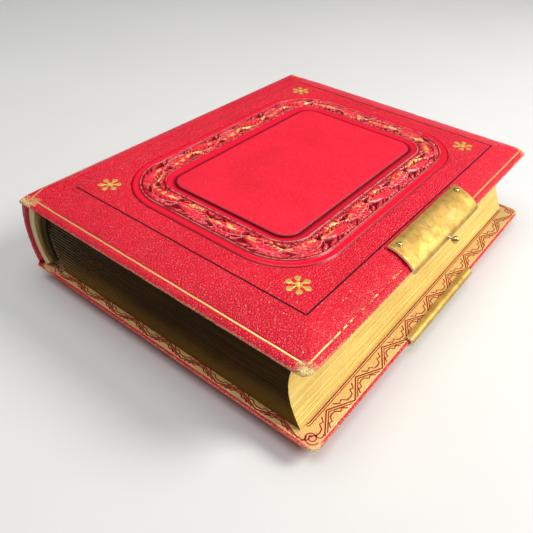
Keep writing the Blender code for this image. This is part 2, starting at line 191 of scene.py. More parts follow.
def dye_with_grain_light(s, pebble, fine, base, dark, valley_shade):
    """Mottled dye, with painted shade between the pebbles and painted highlights on some crowns."""
    mottle = s.step(s.noise(0.055, 4.0, 0.6), 0.35, 0.7)
    patch = s.step(s.noise(0.4, 4.0, 0.65), 0.5, 0.8)
    colour = s.mix(s.times(patch, 0.28), s.mix(mottle, base, dark), dark)
    # painted shade in the grain's valleys
    low = s.times(s.step(pebble, 0.42, 0.0), valley_shade)
    colour = s.mix(low, colour, tuple(0.58 * c for c in dark))
    # paler tops on some pebbles: painted highlights
    crown_highlight = s.times(s.step(pebble, 0.8, 1.0), s.step(fine, 0.42, 0.62))
    return s.mix(s.times(crown_highlight, 0.10), colour, RED_PALE)


def handled(s, colour):
    """Rubbed edges, scratches and specks (real wear, with painted highlights on the grain near the
    fore corner), torn tips, stains, and painted shade in creases, rims and the spine's ends; also
    the torn share.
    """
    worn, scuff_and_glint = s.attr("worn"), s.attr("scuff_and_glint")
    rub = s.step(s.plus(s.times(worn, 1.15), s.noise(1.5, 5.0, 0.7)), 0.95, 1.12)
    speckle = s.lerp(s.step(s.noise(2.4, 3.0, 0.6), 0.46, 0.58), 0.22, 1.0)
    colour = s.mix(s.times(s.times(rub, speckle), 0.85), colour, RUBBED)
    slant = s.node("ShaderNodeVectorRotate", {"Vector": s.p, "Angle": 0.95},
                   rotation_type="Z_AXIS")
    # pale scratches and specks, gathered at the near fore corner: real wear, with painted
    # highlights on the grain there
    streak = s.noise(1.0, 3.0, 0.6, at=s.scaled(0.035, 1.3, 0.4, at=slant))
    scratch = s.times(s.step(streak, 0.665, 0.70), s.step(scuff_and_glint, 0.4, 1.0))
    colour = s.mix(s.times(scratch, 0.5), colour, RED_PALE)
    torn = s.step(s.plus(worn, s.noise(0.9, 5.0, 0.7)), 1.22, 1.36)
    speck = s.times(s.step(s.cells(0.32, "F1"), 0.085, 0.055), s.step(scuff_and_glint, 0.3, 0.9))
    colour = s.mix(s.most(torn, s.times(speck, 0.8)), colour, s.mix(s.noise(0.8), *FIBRE))
    stain = s.step(s.noise(0.30, at=s.moved(9.0, 40.0, 0.0)), 0.71, 0.75)
    colour = s.mix(s.times(stain, 0.4), colour, STAIN)
    # the last mix lays painted shade from a per-vertex attribute
    return s.mix(s.attr("painted_shade"), colour, PAINTED_SHADE), torn


def tooled(s, colour, height):
    """The gold fillet, rubbed off in places, and the dark rule, both pressed flat."""
    kept = s.step(s.plus(s.attr("gilt"), s.noise(0.55, 5.0, 0.7)), 0.98, 1.06)
    gold = s.times(s.step(s.attr("line"), 0.29, 0.19), kept)
    rule = s.times(s.step(s.attr("rule"), 0.33, 0.22), s.attr("ruled"))
    colour = s.mix(gold, s.mix(rule, colour, INK), GOLD_LEAF)
    untouched = s.math("SUBTRACT", 1.0, s.most(gold, rule))
    return colour, s.times(gold, 0.55), s.times(height, untouched)


def leather(name, base, dark, grain=0.25, gloss=0.33, lines=True, cell=1.45, valley_shade=0.74):
    """Dyed goatskin: pebbled grain with painted shade and highlights, mottled dye, rubbed edges,
    painted shade in creases, and any tooled lines.
    """
    s = Shader(name)
    q = s.warped(s.scaled(1.0, 0.8, 1.0), 0.9, 0.45)
    pebble = s.step(s.cells(cell, at=q), 0.0, 0.34)
    fine = s.noise(3.6, 2.0, at=q)
    colour, torn = handled(s, dye_with_grain_light(s, pebble, fine, base, dark, valley_shade))
    height = s.plus(s.times(pebble, 0.85), s.times(fine, 0.25))
    height, metal = s.plus(height, s.times(torn, -0.5)), 0.0
    if lines:
        colour, metal, height = tooled(s, colour, height)
    s.done(Base_Color=colour, Metallic=metal, Specular_IOR_Level=0.46,
           Roughness=s.lerp(s.noise(0.7, 4.0), gloss - 0.1, gloss + 0.14),
           Normal=s.bump(height, grain))


def relief_leather(name):
    """Moulded glossy leather: crimson lobes and gilt flecks, with painted shade in the hollows and
    at the slopes' feet, and painted highlights on the crests and high parts.
    """
    s = Shader(name)
    rise = s.attr("rise")
    # colour darkens from the tops down into the hollows: painted shade
    hollow = s.mix(s.noise(0.9), (0.06, 0.0008, 0.004), (0.26, 0.002, 0.012))
    colour = s.mix(s.step(rise, 0.02, 0.45), hollow, (0.50, 0.002, 0.014))
    colour = s.mix(s.step(rise, 0.45, 0.95), colour, (0.88, 0.007, 0.032))
    colour = s.mix(s.attr("channel"), colour, (0.80, 0.004, 0.03))
    # painted shade at the foot of the frame's slopes
    colour = s.mix(s.attr("painted_shade"), colour, PAINTED_SHADE)
    # pink streaks on the high parts: painted sheen
    streak = s.noise(1.3, 4.0, 0.7, at=s.scaled(1.0, 1.0, 0.2))
    painted_sheen = s.times(s.step(streak, 0.55, 0.62), s.step(rise, 0.3, 0.7))
    colour = s.mix(s.times(painted_sheen, 0.36), colour, (0.92, 0.46, 0.44))
    # broken pale lines on the ridge crests, stems and leaf edges: painted highlights
    painted_highlight = s.times(s.step(s.attr("highlight_lines"), 0.4, 0.75), s.step(s.noise(0.8, 4.0, 0.7), 0.40, 0.54))
    colour = s.mix(s.times(painted_highlight, 0.8), colour, (0.52, 0.30, 0.25))
    fleck = s.step(s.noise(0.45, 4.0, 0.7, at=s.moved(31.0, 7.0, 0.0)), 0.49, 0.54)
    fleck = s.times(fleck, s.step(s.attr("gilt"), 0.35, 0.7))
    height = s.plus(s.noise(1.8), s.times(s.noise(5.0, 2.0), 0.4))
    s.done(Base_Color=s.mix(fleck, colour, (0.95, 0.62, 0.18)), Metallic=s.times(fleck, 0.4),
           Roughness=s.lerp(s.noise(1.1), 0.26, 0.42), Normal=s.bump(height, 0.10),
           Specular_IOR_Level=s.lerp(rise, 0.12, 0.5),
           Coat_Weight=s.lerp(rise, 0.0, 0.8), Coat_Roughness=0.16)


def gilt_border(name):
    """Turned-in leather, gilded all over and rubbed back to red in places."""
    s = Shader(name)
    rub = s.step(s.plus(s.noise(0.7, 5.0, 0.7), s.attr("worn")), 0.62, 0.78)
    colour = s.mix(s.noise(0.12), (0.80, 0.52, 0.17), (0.93, 0.70, 0.30))
    colour = s.mix(s.times(rub, 0.5), colour, (0.70, 0.26, 0.14))
    height = s.plus(s.step(s.cells(1.2), 0.0, 0.3), s.noise(2.5))
    s.done(Base_Color=colour, Metallic=s.lerp(rub, 0.45, 0.15),
           Roughness=s.lerp(s.noise(0.9), 0.34, 0.5), Normal=s.bump(height, 0.05))


def paper(name, base, dark, fibre=0.03):
    """Old paper or card: uneven tone, brown foxing, a soft fibre."""
    s = Shader(name)
    foxing = s.step(s.noise(0.09, 6.0, 0.65), 0.6, 0.75)
    colour = s.mix(s.times(foxing, 0.35), s.mix(s.noise(0.03), base, dark), (0.52, 0.36, 0.18))
    height = s.noise(3.0, 4.0, 0.7, at=s.scaled(1.0, 2.6, 1.0))
    s.done(Base_Color=colour, Roughness=s.lerp(s.noise(1.5, 2.0), 0.72, 0.9),
           Normal=s.bump(height, fibre), Specular_IOR_Level=0.25)


def gilt_edge(name, bright, dull, lines, metallic, roughness, low=None, marks=0.06, shine=0.3):
    """Burnished edge of the card block: long streaks, stains, a warmer lower part, and painted
    shade where the shade attribute is set.
    """
    s = Shader(name)
    streak = s.noise(1.0, 5.0, 0.62, at=s.scaled(*lines))
    stain = s.noise(0.05, 4.0, 0.6)
    colour = s.mix(s.step(streak, 0.3, 0.72), dull, bright)
    colour = s.mix(s.times(s.step(stain, 0.5, 0.72), 0.5), colour, dull)
    if low:
        height = s.node("ShaderNodeSeparateXYZ", {0: s.p}, 2)
        colour = s.mix(s.step(s.plus(height, s.times(stain, 6.0)), 21.0, 8.0), colour, low)
    # painted shade, per vertex
    colour = s.mix(s.times(s.attr("shade"), 0.88), colour, (0.012, 0.006, 0.002))
    s.done(Base_Color=colour, Metallic=metallic, Specular_IOR_Level=shine,
           Roughness=s.lerp(streak, roughness - 0.08, roughness + 0.12),
           Normal=s.bump(streak, marks))


def brass(name, bright, dull, tarnish, roughness, marks):
    """Handled metal: cloudy patches, brown tarnish spots, fine rubbing marks."""
    s = Shader(name)
    cloud = s.noise(0.22, 6.0, 0.68)
    spot = s.step(s.noise(0.6, 5.0, 0.7), 0.54, 0.70)
    haze = s.step(s.noise(0.12, 4.0, at=s.moved(5.0, 19.0, 3.0)), 0.56, 0.72)
    colour = s.mix(s.step(cloud, 0.38, 0.62), bright, dull)
    colour = s.mix(s.times(spot, tarnish), colour, (0.26, 0.15, 0.04))
    colour = s.mix(s.times(haze, tarnish * 0.7), colour, (0.52, 0.38, 0.22))
    height = s.plus(s.noise(1.2, at=s.scaled(0.6, 7.0, 0.6)), s.times(s.noise(0.5), 1.5))
    s.done(Base_Color=colour, Metallic=1.0, Normal=s.bump(height, marks),
           Roughness=s.lerp(s.most(cloud, spot), roughness - 0.06, roughness + 0.2))


def plain(name, colour, dark, roughness, metallic=0.0, scale=0.8):
    """Any other surface: two close tones and a faint unevenness."""
    s = Shader(name)
    n = s.noise(scale, 4.0, 0.65)
    s.done(Base_Color=s.mix(s.step(n, 0.3, 0.7), colour, dark), Metallic=metallic,
           Roughness=s.lerp(n, roughness - 0.06, roughness + 0.1),
           Normal=s.bump(s.noise(scale * 3), 0.03))


leather("red_leather", RED, RED_DARK)
relief_leather("relief_leather")
leather("panel_leather", (0.90, 0.009, 0.040), (0.78, 0.006, 0.028), 0.06, 0.46, lines=False,
        cell=1.8, valley_shade=0.35)
gilt_border("gilt_border")
plain("red_tooling", (0.42, 0.005, 0.012), (0.24, 0.002, 0.006), 0.5)
plain("gold_foil", (0.95, 0.67, 0.17), (0.70, 0.42, 0.07), 0.34, 0.5, 1.4)
paper("end_paper", (0.84, 0.76, 0.58), (0.76, 0.66, 0.47))
paper("card_face", (0.83, 0.77, 0.62), (0.76, 0.68, 0.50))
paper("lining_paper", (0.78, 0.66, 0.40), (0.58, 0.44, 0.22), 0.06)
gilt_edge("gilt_fore_edge", (1.0, 0.80, 0.25), (0.76, 0.49, 0.11), (0.9, 0.035, 3.4), 0.2, 0.45)
# head and tail edges of the leaves kept near black: painted shade, as they face away from the light
gilt_edge("gilt_end_edge", (0.062, 0.028, 0.003), (0.024, 0.010, 0.001), (0.035, 0.9, 1.7),
          0.0, 0.7, low=(0.17, 0.085, 0.014), marks=0.0, shine=0.06)
# the end bands' gilt, darkened: real gilt with painted shade, as the bands sit in the covers'
# shadow
gilt_edge("guard_gilt", (0.34, 0.19, 0.04), (0.15, 0.075, 0.015), (1.6, 0.5, 0.10), 0.1, 0.6,
          marks=0.03, shine=0.1)
brass("aged_brass", (0.64, 0.42, 0.12), (0.45, 0.29, 0.075), 0.6, 0.50, 0.03)
brass("bright_brass", (0.88, 0.66, 0.25), (0.62, 0.44, 0.14), 0.3, 0.18, 0.008)
# a paler brass colour for the strip's cut ends
plain("bare_brass_edge", (0.96, 0.84, 0.62), (0.92, 0.66, 0.34), 0.35, 0.25, 1.5)
brass("steel", (0.72, 0.71, 0.68), (0.5, 0.49, 0.47), 0.2, 0.25, 0.01)


# ---- mesh helpers
def grid_faces(nu, nv, wrap_u=False, wrap_v=False):
    """Quads of a grid of nu rows of nv points."""
    a, b = np.mgrid[:nu - (not wrap_u), :nv - (not wrap_v)]
    c, d = (a + 1) % nu, (b + 1) % nv
    return np.stack([a * nv + b, c * nv + b, c * nv + d, a * nv + d], -1).reshape(-1, 4)


def linked(name, data):
    obj = bpy.data.objects.new(name, data)
    bpy.context.scene.collection.objects.link(obj)
    return obj


def make(name, points, faces, mats, body=None, replaces=(), slot=None, slots=None, attrs=None,
         sharp=38.0):
    """One smooth-shaded piece, with its rest place kept at each vertex."""
    mats = mats.split()
    mesh = bpy.data.meshes.new(name)
    mesh.from_pydata((points * MM).tolist(), [], [list(map(int, f)) for f in faces])
    for key in mats:
        mesh.materials.append(M[key])
    if slots is not None:
        mesh.polygons.foreach_set("material_index", np.asarray(slots, np.int32))
    bm = bmesh.new()
    bm.from_mesh(mesh)
    bmesh.ops.recalc_face_normals(bm, faces=bm.faces)
    bm.to_mesh(mesh)
    bm.free()
    rest = mesh.attributes.new("rest", "FLOAT_VECTOR", "POINT")
    rest.data.foreach_set("vector", points.astype(np.float32).ravel())
    for key, value in (attrs or {}).items():
        layer = mesh.attributes.new(key, "FLOAT", "POINT")
        layer.data.foreach_set("value", np.broadcast_to(value, len(points)).astype(np.float32))
    mesh.shade_smooth()
    mesh.set_sharp_from_angle(angle=math.radians(sharp))
    obj = linked(name, mesh)
    if body:
        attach(obj, body)
    if replaces:
        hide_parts(*replaces)
    return obj


def on_cover(side, name, points, faces, mats, replaces=(), **options):
    """A piece of either cover, worked out as it lies on the front one."""
    make(side + name, turned(points, side), faces, mats, side + "_cover",
         [side + node for node in replaces], **options)


def merged(parts):
    """Join (points, faces) parts into one."""
    faces, base = [], 0
    for points, part in parts:
        faces += [[i + base for i in face] for face in part]
        base += len(points)
    return np.concatenate([points for points, _ in parts]), faces


def run_along(line):
    """Distance travelled at each point of a plane line."""
    return np.concatenate([[0], np.cumsum(np.hypot(*np.diff(line, axis=0).T))])


def smooth_line(points, n):
    """Catmull-Rom line through the points, as n evenly spaced samples."""
    p = np.array(points, float)
    p = np.vstack([2 * p[0] - p[1], p, 2 * p[-1] - p[-2]])
    t = np.linspace(0, 1, 12, endpoint=False)[:, None]
    out = []
    for k in range(1, len(p) - 2):
        a, b, c, d = p[k - 1:k + 3]
        out.append(0.5 * (2 * b + (c - a) * t + (2 * a - 5 * b + 4 * c - d) * t ** 2
                          + (3 * b - a - 3 * c + d) * t ** 3))
    line = np.vstack(out + [p[-2:-1]])
    run = run_along(line)
    return np.stack([np.interp(np.linspace(0, run[-1], n), run, c) for c in line.T], -1)


def heading(line):
    """Unit direction of travel at each point of a plane line."""
    d = np.gradient(np.asarray(line, float), axis=0)
    return d / np.linalg.norm(d, axis=1, keepdims=True)


def left_of(line, by):
    """Shift a plane line to the left of its direction of travel."""
    d = heading(line)
    return line + np.stack([-d[:, 1], d[:, 0]], -1) * by


def closed(rings, folded=False):
    """Capped solid through equal rings; a folded ring runs out along one side and back."""
    nv = len(rings[0])
    faces = grid_faces(len(rings), nv, wrap_v=True).tolist()
    for base in (0, (len(rings) - 1) * nv):
        if folded:
            faces += [[base + k, base + k + 1, base + nv - 2 - k, base + nv - 1 - k]
                      for k in range(nv // 2 - 1)]
        else:
            faces.append(list(range(base, base + nv)))
    return np.concatenate(rings), faces


def sweep(outlines, ys, folded=False):
    """Closed solid from (x, z) outlines at places ys along the spine direction."""
    return closed([np.stack([o[:, 0], np.broadcast_to(y, len(o)), o[:, 1]], -1)
                   for o, y in zip(outlines, ys)], folded)


def lathe(profile, segments, placement):
    """Turn an (r, h) profile about Z and place it; its ends sit on the axis."""
    r, h = np.array(profile[1:-1], float).T
    turn = np.linspace(0, 2 * np.pi, segments, endpoint=False)
    body = np.stack([np.outer(r, np.cos(turn)), np.outer(r, np.sin(turn)),
                     np.outer(h, np.ones(segments))], -1).reshape(-1, 3)
    points = np.vstack([body, [[0, 0, profile[0][1]], [0, 0, profile[-1][1]]]])
    faces = grid_faces(len(r), segments, wrap_v=True).tolist()
    n, last = len(body), (len(r) - 1) * segments
    for i in range(segments):
        j = (i + 1) % segments
        faces += [[i, j, n], [last + i, last + j, n + 1]]
    place = np.array(placement)
    return points @ place[:3, :3].T + place[:3, 3], faces


def grown(rect, by):
    x0, x1, hy, r = rect
    return x0 - by, x1 + by, hy + by, r + by


def sdf(x, y, rect):
    """Signed distance from a rounded rectangle in plan, negative inside."""
    x0, x1, hy, r = rect
    qx, qy = np.abs(x - (x0 + x1) / 2) - (x1 - x0) / 2 + r, np.abs(y) - hy + r
    return np.hypot(np.maximum(qx, 0), np.maximum(qy, 0)) + np.minimum(np.maximum(qx, qy), 0) - r


def ring(rect, nx=52, ny=72, nc=8):
    """Evenly divided rounded rectangle in plan, counter-clockwise from its +x, +y corner."""
    x0, x1, hy, r = rect
    r = max(r, 0.05)
    out = []
    corners = ((x1 - r, hy - r), (x0 + r, hy - r), (x0 + r, r - hy), (x1 - r, r - hy))
    for k, (cx, cy) in enumerate(corners):
        bend = arc(cx, cy, r, 90 * k, 90 * (k + 1), nc + 1)
        end = arc(*corners[(k + 1) % 4], r, 90 * (k + 1), 90 * (k + 1), 1)
        n = nx if k % 2 == 0 else ny
        out += [bend, bend[-1] + (end - bend[-1]) * (np.arange(1, n)[:, None] / n)]
    return np.vstack(out)


def arc(cx, cy, r, a0, a1, n=7):
    a = np.radians(np.linspace(a0, a1, n))
    return np.stack([cx + r * np.cos(a), cy + r * np.sin(a)], -1)


def level(xy, z):
    """Plan points lifted to a height, or to one height each."""
    return np.column_stack([xy, np.broadcast_to(z, len(xy))])


def between(a, b, t):
    return tuple(p + (q - p) * t for p, q in zip(a, b))


def bell(distance, width, power=2):
    """1 at no distance, falling away over the width."""
    return np.exp(-(distance / width) ** power)


def waves(x, y, seed, scale):
    """Smooth noise of about -1..1 from crossed sine waves."""
    g = np.random.default_rng(seed)
    total = 0.0
    for k in range(6):
        a, f, ph = g.uniform(0, 2 * np.pi), scale * g.uniform(0.5, 2.2), g.uniform(0, 6.28)
        total = total + np.sin((x * np.cos(a) + y * np.sin(a)) * f + ph)
    return total / 3.2


def turned(points, side):
    """Front cover points as they are, or turned over into the back cover."""
    return points if side == "front" else points * (1, 1, -1) + (BACK_SHIFT_X, 0, FLIP_Z)


def bevel_z(y):
    return np.interp(np.abs(y), *zip(*BEVEL))


# ---- cover leather
def gilt_left(x, y):
    """How much of the gold fillet survives: most along the near end and far fore edge."""
    fore, clear = x > 53, PLATE_HALF_Y - 0.3
    return np.select([y > 70, y < -70, fore & (y < -clear), fore & (y > clear), x < -50],
                     [0.55, 0.86, 0.49 + 0.4 * bell(y + 73, 9.0), 0.80,
                      0.46 + 0.36 * bell(y + 72, 26.0)], 0.56)


def tooling_attrs(x, y):
    """Distances to the gold fillet and dark rule, how well each survives, and the wear."""
    rubbed = np.where(np.abs(y) > 60, 0.52 + 0.08 * np.clip(x / 50.0, -1, 1), 0.48)
    worn = rubbed * bell(np.maximum(-sdf(x, y, NOSE), 0), 0.6)
    for cx, cy, reach, most in ((NOSE[1], -HALF_Y, 4.8, 1.2), (NOSE[0], -HALF_Y, 3.6, 0.95),
                                (NOSE[1], HALF_Y, 5.4, 1.2), (NOSE[0], HALF_Y, 5.6, 1.1)):
        worn = np.maximum(worn, most * bell(np.hypot(x - cx, y - cy), reach))
    return dict(line=np.abs(sdf(x, y, FILLET)), rule=np.abs(sdf(x, y, (*FIELD[:3], 0.2))),
                gilt=gilt_left(x, y), worn=worn,
                ruled=np.where((x < -45) & (np.abs(y) < 61.8), 0.55, 1.0),
                # the last entry gathers scratches and specks at the near fore corner: real wear,
                # with painted highlights on the grain there
                scuff_and_glint=bell(np.hypot(x - 47, y + 62), 19) + 0.30)


def cover_rings():
    """Rings of the tray from its hole out over the bevels and in again below, each with its
    height and zone: 0 top, 1 shoulder, 2 nose, 3 edge, 4 inside."""
    hole = grown(PANEL, FRAME_REACH)
    rings = [(hole, 35.5, 0), (hole, FLAT_Z - 0.05, 0)]
    rings += [(between(hole, FIELD, t), FLAT_Z, 0) for t in (0.02, 0.15, 0.3, 0.5, 0.7, 0.88)]
    rings += [(grown(FIELD, by), FLAT_Z + dz, 0) for by, dz in
              ((-0.5, 0), (-0.27, 0), (-0.15, -0.2), (0.15, -0.2), (0.27, -0.03))]
    rings += [(between(FIELD, MID, t), FLAT_Z - 1.2 * t ** 1.15, 0) for t in (0.15, 0.4, 0.7)]
    rings += [(between(MID, LINE, t), FLAT_Z - 1.2 - 1.7 * t ** 1.1, 0)
              for t in (0.0, 0.3, 0.6, 0.85)]
    rings += [(grown(LINE, by), 33.4 + dz, 0) for by, dz in
              ((-0.4, 0.1), (-0.28, -0.02), (0.0, -0.11), (0.28, -0.2), (0.4, -0.18))]
    rings += [(between(LINE, SHOULDER, 0.6), 32.95, 0), (SHOULDER, 32.45, 1),
              (between(SHOULDER, NOSE, 0.75), 32.1, 1), (NOSE, 31.75, 2),
              (grown(NOSE, -0.05), 31.5, 2), (grown(NOSE, -0.3), 31.2, 3),
              (INNER_EDGE, INNER_Z, 3)]
    rings += [(between(INNER_EDGE, OPENING, t), INNER_Z, 4) for t in (0.25, 0.5, 0.75, 0.97)]
    return rings + [(OPENING, INNER_Z + 0.08, 4), (OPENING, 31.75, 4), (hole, 33.2, 4)]


def cover_leather(side):
    """The whole leather tray: field, bevels, nose, turned-in edge, closed inside."""
    roll = np.array(ROLL[side])[::-1]
    rings = cover_rings()
    grid = []
    for rect, z, zone in rings:
        if zone in (1, 2, 3):
            rect = (EDGE_X0[side][zone - 1], *rect[1:])
        xy = ring(rect)
        h = np.full(len(xy), z)
        if zone < 3:  # on the spine side the top rolls down
            over = xy[:, 0] < ROLL[side][0][0]
            top = np.maximum(np.interp(xy[:, 0], roll[:, 0], roll[:, 1]), h)
            pressed = z - FLAT_Z if zone == 0 and abs(z - FLAT_Z) < 0.3 else 0.0
            h = np.where(over, np.minimum(bevel_z(xy[:, 1]), top) + 0.6 * pressed, h)
        grid.append(level(xy, h))
    grid = np.array(grid)
    x, y, row = grid[..., 0], grid[..., 1], np.arange(len(grid))[:, None]
    first_inner = [zone for _, _, zone in rings].index(4) - 1
    near_edge = bell(np.maximum(-sdf(x, y, NOSE), 0), 1.2)
    near_corner = bell(np.hypot(x - NOSE[1], y + HALF_Y), 4.0)
    rough = 0.05 * waves(x, y, 3, 0.55) + 0.09 * near_edge * waves(x, y, 5, 2.2)
    rough = rough + 0.28 * near_corner * waves(x, y, 8, 5.0)
    grid[..., 2] += rough * ((row > 1) & (row < first_inner))
    nu, nv = grid.shape[:2]
    faces = grid_faces(nu, nv, wrap_u=True, wrap_v=True)
    band = faces[:, 0] // nv
    flat = grid.reshape(-1, 3)
    attrs = tooling_attrs(flat[:, 0], flat[:, 1])
    for key in ("line", "rule"):
        attrs[key] = np.where(flat[:, 2] < 31.3, FAR, attrs[key])
    on_cover(side, "_cover_leather", flat, faces, "red_leather gilt_border",
             ["_leather", "_board"], attrs=attrs, sharp=50,
             slots=(band >= first_inner) & (band < first_inner + 5))


def joint_wear(y, z):
    """Worn ends, torn tips where the roll meets them, a rubbed crest along the joint."""
    in_from_end = HALF_Y - np.abs(y)
    far = y > 0
    reach, most, tip_z = (np.where(far, a, b) for a, b in ((5.6, 2.1), (1.25, 1.05), (34.2, 33.0)))
    tips = most * bell(np.hypot(in_from_end * 0.8, z - tip_z), reach)
    crest = bell(z - 33.4, 1.0) * (0.38 + 0.14 * bell(y + HALF_Y, 30.0))
    return np.maximum(np.maximum(0.40 * bell(in_from_end, 0.9), tips), crest)


def joint_leather(side):
    """Leather over the hinge groove, from the cover's roll round to the spine."""
    run = smooth_line(ROLL[side][1:] + SPINE_RUN[side], 34)
    away = run - left_of(run, 1.0)
    marks = [76, 75.9, 75.6, 75.1, 74.3, 73.85, 73.7, 73.5, 73.3, 73.15, 72.3, 70, 68.4, 66, 63.5,
             62.1, 60, 54, 46, 38, 30, 22, 14, 6]
    outlines, ys = [], []
    for y in [-m for m in marks] + marks[::-1]:
        o, i = run + 0.05 * away, run - 0.60 * away
        on_cover_part = np.clip((o[:, 1] - 30.6) / 1.0, 0, 1)
        for line, under in ((o, 0.0), (i, 0.4)):
            limit = bevel_z(y) + 0.05 - under
            line[:, 1] = np.where(on_cover_part > 0.9, np.minimum(line[:, 1], limit), line[:, 1])
        o[:, 0] += 0.5 * max(0.0, (abs(y) - 75.1) / 0.9) ** 2 * (1 - on_cover_part)
        length = SPINE_HALF_Y + (HALF_Y - SPINE_HALF_Y) * on_cover_part
        y_run = np.sign(y) * (length - (HALF_Y - abs(y)))
        outlines.append(np.vstack([o, i[::-1]]))
        ys.append(np.concatenate([y_run, y_run[::-1]]))
    points, faces = sweep(outlines, ys, folded=True)
    attrs = tooling_attrs(points[:, 0], points[:, 1])
    attrs["line"] = np.where(points[:, 2] < 32.0, FAR, attrs["line"])
    attrs["rule"] = FAR
    attrs["worn"] = joint_wear(points[:, 1], points[:, 2])
    obj = make(side + "_joint_leather", turned(points, side), faces, "red_leather", attrs=attrs,
               sharp=60)
    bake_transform(obj)


# ---- moulded frame
TILE = 27.0  # repeat of the running foliage
BAND_LO, BAND_HI = 3.9, 11.2  # the foliage band, offsets from the panel edge
WAVE_MID, WAVE_SWING = 7.5, 2.2  # the running stem within the band
STEMS = 3  # the first strokes are the bare stems
MOULDING = [(14.95, -0.30), (14.8, -0.24), (14.6, -0.18), (14.4, 0.12), (14.1, 0.30),
            (13.7, 0.34), (13.2, 0.22), (12.7, 0.13), (12.35, 0.14), (12.15, 0.30), (11.95, 0.55),
            (11.7, 0.68), (11.45, 0.55), (11.2, 0.18), (3.9, 0.24), (3.68, 0.62), (3.4, 0.80),
            (3.12, 0.72), (2.5, 0.42), (1.6, 0.12), (0.8, -0.04), (0.25, -0.12), (0.05, -0.2)]


def plump(w, start, span, power=1.0):
    """Half width along a lobe, from a share of its rise to a share of its fall."""
    return np.sin(np.pi * (start + span * w)) ** power


def stems_and_fronds():
    """The running stem, two slanting ones that part the band, low fronds on both sides."""
    t, w = np.linspace(0, 1, 40), np.linspace(0, 1, 8)
    strokes = [(t * TILE, WAVE_MID + WAVE_SWING * np.sin(2 * np.pi * t), 0.38 + 0 * t,
                0.74 + 0 * t)]
    for start in (0.0, TILE / 2):
        strokes.append((start - 2.4 + 4.6 * w, 11.0 - 6.6 * w ** 1.15, 0.24 + 0 * w, 0.66 + 0 * w))
    fronds = 15
    for k in range(fronds):
        for foot, way in ((10.9, -1), (4.2, 1)):
            a0 = (k + rng.uniform(-0.4, 0.4)) * TILE / fronds
            run, lift = rng.uniform(1.6, 3.2), rng.uniform(1.0, 2.2)
            half, top = rng.uniform(0.42, 0.78), rng.uniform(0.40, 0.62)
            strokes.append((a0 + run * w, foot + way * lift * (w - 0.3 * w ** 2),
                            half * plump(w, 0.2, 0.72), top + 0.14 * w))
    return strokes


def leaf_and_buds(start, flip):
    """A long lobed leaf in a half wave of the stem, with a small leaf, buds and a berry."""
    def across(v):
        return 7.55 + flip * v

    def spine(v):
        return 0.4 - 3.5 * v + 1.7 * v ** 2.2

    u, w = np.linspace(0, 1, 16), np.linspace(0, 1, 8)
    a0, length = start + 0.6, 11.6
    taper = np.sin(np.pi * np.clip(u * 0.9 + 0.1, 0, 1)) ** 0.6
    strokes = [(a0 + length * u, across(spine(u)), 0.30 + 1.30 * taper, 0.82 + 0.12 * taper)]
    for k in range(6):  # side lobes, swept along the leaf
        v = 0.10 + 0.155 * k
        reach = 3.1 * math.sin(math.pi * (0.2 + 0.65 * v))
        for way in (1, -1):
            strokes.append((a0 + length * v + reach * 1.05 * w,
                            across(spine(v) + way * reach * (0.95 * w - 0.22 * w ** 2)),
                            0.80 * plump(w, 0.12, 0.84, 0.7), 0.80 - 0.14 * w))
    strokes.append((start + 3.4 + 6.4 * w, across(1.9 + 1.0 * np.sin(2.6 * w)),
                    1.05 * plump(w, 0.1, 0.85, 0.7), 0.66 + 0.1 * w))
    for k in range(3):
        strokes.append((start + 4.4 + 1.9 * k + 1.5 * w, across(2.2 + 1.3 * w),
                        0.5 * plump(w, 0.15, 0.8), 0.80 - 0.1 * w))
    strokes.append((start + 11.0 + 1.6 * w, across(2.9 - 0.6 * w),
                    0.80 * plump(w, 0.14, 0.8, 0.6), 0.78 + 0 * w))
    return strokes


def foliage(along, across):
    """Height 0..1 of the foliage and its share of bare stem, on a tiled strip.  A stroke holds
    (along, across, half width, height) at its points."""
    height, stem = np.zeros_like(along), np.zeros_like(along)
    strokes = stems_and_fronds() + leaf_and_buds(0.0, 1) + leaf_and_buds(TILE / 2, -1)
    for n, (a, c, half, top) in enumerate(strokes):
        for k in range(len(a) - 1):
            for wrap in (-TILE, 0.0, TILE):
                ax, bx = a[k] + wrap, a[k + 1] + wrap
                if max(ax, bx) < -2 or min(ax, bx) > TILE + 2:
                    continue
                lx, lc, da, dc = bx - ax, c[k + 1] - c[k], along - ax, across - c[k]
                t = np.clip((da * lx + dc * lc) / (lx * lx + lc * lc + 1e-9), 0, 1)
                r = np.hypot(da - t * lx, dc - t * lc)
                w = half[k] + (half[k + 1] - half[k]) * t + 1e-4
                inside = np.clip(1 - (r / w) ** 2, 0, 1)
                vein = 0.22 * bell(r, 0.13) * (w > 0.7) * (inside > 0)
                rise = (top[k] + (top[k + 1] - top[k]) * t) * inside ** 0.8 - vein
                height = np.maximum(height, rise)
                if n < STEMS:
                    stem = np.maximum(stem, bell(r, 0.24))
    return height, stem


def relief_attrs(along, across, band, leaf, stem):
    """What the relief material reads at each vertex."""
    stem_line = WAVE_MID + WAVE_SWING * np.sin(2 * np.pi * along / TILE)
    # pale lines on the leaf edges, the two ridge crests and the outer stem: painted highlights
    outlines = np.where(band, bell(leaf - 0.30, 0.08) * 0.56, 0)
    highlight_lines = bell(across - 11.7, 0.22) + bell(across - 3.42, 0.24)
    highlight_lines = np.maximum(np.maximum(highlight_lines, stem * (across > 6.6) * 0.8), outlines)
    gilded = np.maximum(np.clip((leaf - 0.5) * 3, 0, 1), bell(across - stem_line, 0.5, 4))
    return dict(rise=np.where(band, leaf * 1.15, 0.3), highlight_lines=highlight_lines,
                channel=np.minimum(bell(across - 13.3, 1.1, 4) + bell(across - 2.0, 1.1, 4), 1),
                # darkens the foot of each slope of the frame: painted shade
                painted_shade=bell(across - 0.2, 0.95, 4) + 0.8 * bell(across - 14.7, 0.3),
                gilt=bell(across - 6.2, 1.9, 4) * gilded)


